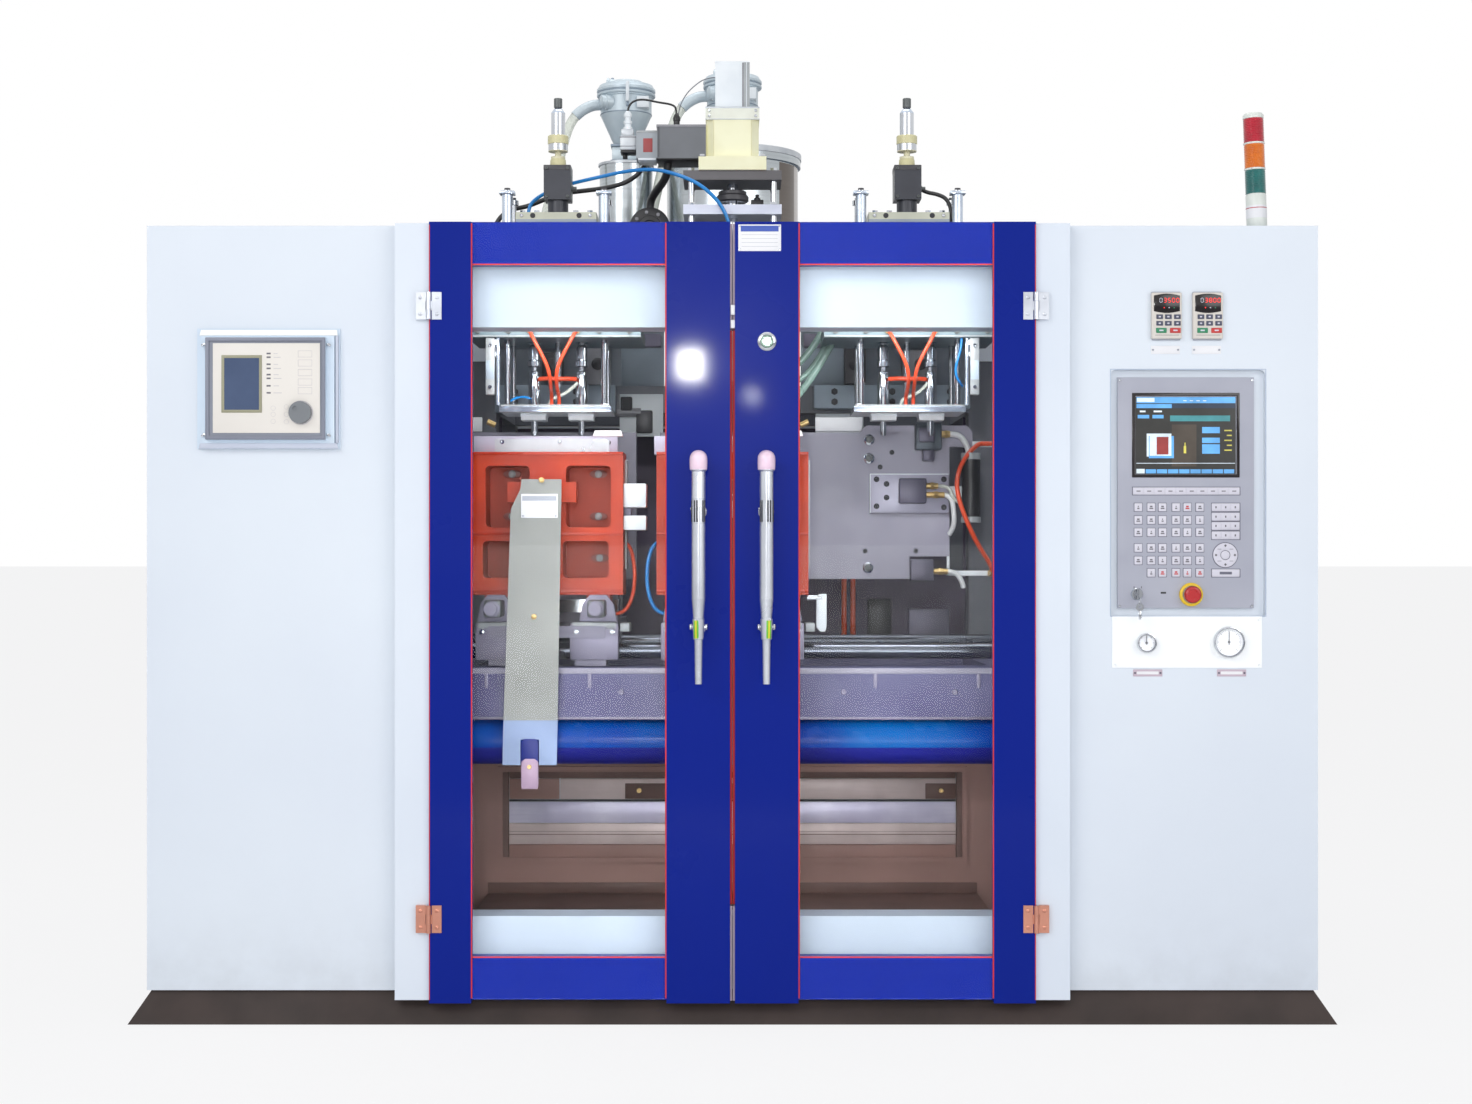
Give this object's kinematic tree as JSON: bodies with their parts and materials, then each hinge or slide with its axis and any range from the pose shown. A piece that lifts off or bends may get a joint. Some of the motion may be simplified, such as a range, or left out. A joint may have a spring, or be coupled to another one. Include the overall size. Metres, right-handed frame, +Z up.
{
  "type": "blow moulding machine",
  "caption": "Double-station extrusion blow moulding machine in a white cabinet with blue glazed doors, sliding clamps, die head, hoppers and operator panels.",
  "frame": {"origin": "on the floor at the middle of the machine, under the die head axis in X", "axes": "+X right seen from the operator, +Y to the back, +Z up"},
  "size_m": [2.922, 1.962, 2.619],
  "materials": {
    "dark_plinth": "satin dark brown paint",
    "frame_grey": "semi-gloss grey paint",
    "cabinet_white": "bluish white powder coat",
    "interior_brown": "matt brown-grey paint",
    "hinge_metal": "satin cast hinge",
    "chromed": "polished chrome",
    "controller_grey": "matt grey",
    "stop_red": "glossy red",
    "tower_plastic": "glossy signal lenses",
    "bed_grey": "lilac grey paint",
    "door_blue": "glossy royal blue",
    "bare_aluminium": "anodised",
    "belt_green": "pale grey belt",
    "steel": "brushed",
    "cream_cast": "cream paint",
    "black_plastic": "black",
    "loader_grey": "grey-blue enamel",
    "clear_sheet": "clear glazing",
    "dark_grey": "dark grey",
    "hose_blue": "blue tube",
    "hose_black": "black hose",
    "hose_orange": "orange tube",
    "platen_orange": "glossy orange",
    "mould_aluminium": "machined"
  },
  "bodies": {
    "frame": {"actuator_frame": "frame_grey", "base_frame": "frame_grey", "bay_panels": "cabinet_white", "black_hoses": "hose_black", "blow_bridges": "frame_grey", "blow_cylinders": "dark_grey", "blue_apron": "door_blue", "blue_hose": "hose_blue", "bulkhead": "interior_brown", "controller_case": "controller_grey", "conveyor_belt": "belt_green", "conveyor_frame": "bare_aluminium", "die_head": "steel", "extruder_barrel": "steel", "extruder_drive": "frame_grey", "fixed_hinge_leaves": "hinge_metal", "gauge_panel": "cabinet_white", "guide_rods": "chromed", "hmi_panel": "controller_grey", "hopper_loaders": "loader_grey", "hydraulic_unit": "frame_grey", "left_cabinet": "cabinet_white", "machine_bed": "bed_grey", "main_frame": "frame_grey", "material_hoppers": "steel", "parison_actuator": "cream_cast", "plinth_skirt": "dark_plinth", "right_cabinet": "cabinet_white", "signal_tower": "tower_plastic"},
    "left_door": {"left_door_frame": "door_blue", "left_window": "clear_sheet", "left_handle": "chromed", "left_hinge_leaves": "hinge_metal"},
    "right_door": {"right_door_frame": "door_blue", "right_window": "clear_sheet", "right_handle": "chromed", "right_hinge_leaves": "hinge_metal"},
    "door_lock": {"lock_plug": "chromed"},
    "settings_knob": {"controller_knob": "controller_grey"},
    "stop_button": {"estop_head": "stop_red"},
    "key_switch": {"key_switch_plug": "chromed"},
    "small_needle": {"small_gauge_needle": "black_plastic"},
    "large_needle": {"large_gauge_needle": "black_plastic"},
    "conveyor_drive": {"conveyor_roller": "steel"},
    "screw": {"extruder_screw": "steel"},
    "parison_cores": {"actuator_rod": "steel"},
    "left_carriage": {"left_carriage": "bed_grey"},
    "left_front_clamp": {"left_front_platen": "platen_orange", "left_front_mould": "mould_aluminium"},
    "left_rear_clamp": {"left_rear_platen": "bed_grey", "left_rear_mould": "mould_aluminium"},
    "left_blow_unit": {"left_blow_frame": "chromed", "left_blow_hoses": "hose_orange"},
    "right_carriage": {"right_carriage": "bed_grey"},
    "right_front_clamp": {"right_front_platen": "platen_orange", "right_front_mould": "mould_aluminium"},
    "right_rear_clamp": {"right_rear_platen": "bed_grey", "right_rear_mould": "mould_aluminium"},
    "right_blow_unit": {"right_blow_frame": "chromed", "right_blow_hoses": "hose_orange"}
  },
  "joints": [
    {"name": "left_door_hinge", "type": "hinge", "parent": "frame", "child": "left_door", "pos_m": [-0.7315, -0.957, 1], "axis": [0, 0, -1], "range_deg": [0, 110]},
    {"name": "right_door_hinge", "type": "hinge", "parent": "frame", "child": "right_door", "pos_m": [0.7315, -0.957, 1], "axis": [0, 0, 1], "range_deg": [0, 110]},
    {"name": "lock_turn", "type": "hinge", "parent": "right_door", "child": "door_lock", "pos_m": [0.083, -0.93, 1.648], "axis": [0, 1, 0], "range_deg": [0, 90]},
    {"name": "settings_knob_turn", "type": "hinge", "parent": "frame", "child": "settings_knob", "pos_m": [-1.043, -0.93, 1.478], "axis": [0, 1, 0], "continuous": true},
    {"name": "stop_button_press", "type": "slide", "parent": "frame", "child": "stop_button", "axis": [0, 1, 0], "range_m": [0, 0.006], "stiffness_N_per_m": 800},
    {"name": "key_turn", "type": "hinge", "parent": "frame", "child": "key_switch", "pos_m": [0.985, -0.89, 1.039], "axis": [0, 1, 0], "range_deg": [0, 90]},
    {"name": "small_needle_turn", "type": "hinge", "parent": "frame", "child": "small_needle", "pos_m": [1.005, -0.912, 0.921], "axis": [0, 1, 0], "range_deg": [-135, 135], "stiffness_Nm_per_rad": 0.002},
    {"name": "large_needle_turn", "type": "hinge", "parent": "frame", "child": "large_needle", "pos_m": [1.205, -0.912, 0.923], "axis": [0, 1, 0], "range_deg": [-135, 135], "stiffness_Nm_per_rad": 0.004},
    {"name": "conveyor_drive_turn", "type": "hinge", "parent": "frame", "child": "conveyor_drive", "pos_m": [0, 0.8, 0.385], "axis": [1, 0, 0], "continuous": true},
    {"name": "screw_turn", "type": "hinge", "parent": "frame", "child": "screw", "pos_m": [0, 0.2, 1.78], "axis": [0, 1, 0], "continuous": true},
    {"name": "parison_core_slide", "type": "slide", "parent": "frame", "child": "parison_cores", "axis": [0, 0, 1], "range_m": [-0.015, 0.015]},
    {"name": "right_carriage_slide", "type": "slide", "parent": "frame", "child": "right_carriage", "axis": [1, 0, 0], "range_m": [0, 0.472]},
    {"name": "left_carriage_slide", "type": "slide", "parent": "frame", "child": "left_carriage", "axis": [1, 0, 0], "range_m": [0, 0.472]},
    {"name": "left_rear_clamp_slide", "type": "slide", "parent": "left_carriage", "child": "left_rear_clamp", "axis": [0, 1, 0], "range_m": [0, 0.125]},
    {"name": "left_front_clamp_slide", "type": "slide", "parent": "left_carriage", "child": "left_front_clamp", "axis": [0, -1, 0], "range_m": [0, 0.125]},
    {"name": "right_rear_clamp_slide", "type": "slide", "parent": "right_carriage", "child": "right_rear_clamp", "axis": [0, 1, 0], "range_m": [0, 0.125]},
    {"name": "right_front_clamp_slide", "type": "slide", "parent": "right_carriage", "child": "right_front_clamp", "axis": [0, -1, 0], "range_m": [0, 0.125]},
    {"name": "left_blow_slide", "type": "slide", "parent": "frame", "child": "left_blow_unit", "axis": [0, 0, 1], "range_m": [-0.012, 0.14], "deforming": ["left_blow_hoses"]},
    {"name": "right_blow_slide", "type": "slide", "parent": "frame", "child": "right_blow_unit", "axis": [0, 0, 1], "range_m": [-0.012, 0.14], "deforming": ["right_blow_hoses"]}
  ],
  "couplings": [
    {"joint": "left_carriage_slide", "follows": "right_carriage_slide", "ratio": 1},
    {"joint": "left_front_clamp_slide", "follows": "left_rear_clamp_slide", "ratio": 1},
    {"joint": "right_front_clamp_slide", "follows": "right_rear_clamp_slide", "ratio": 1}
  ]
}
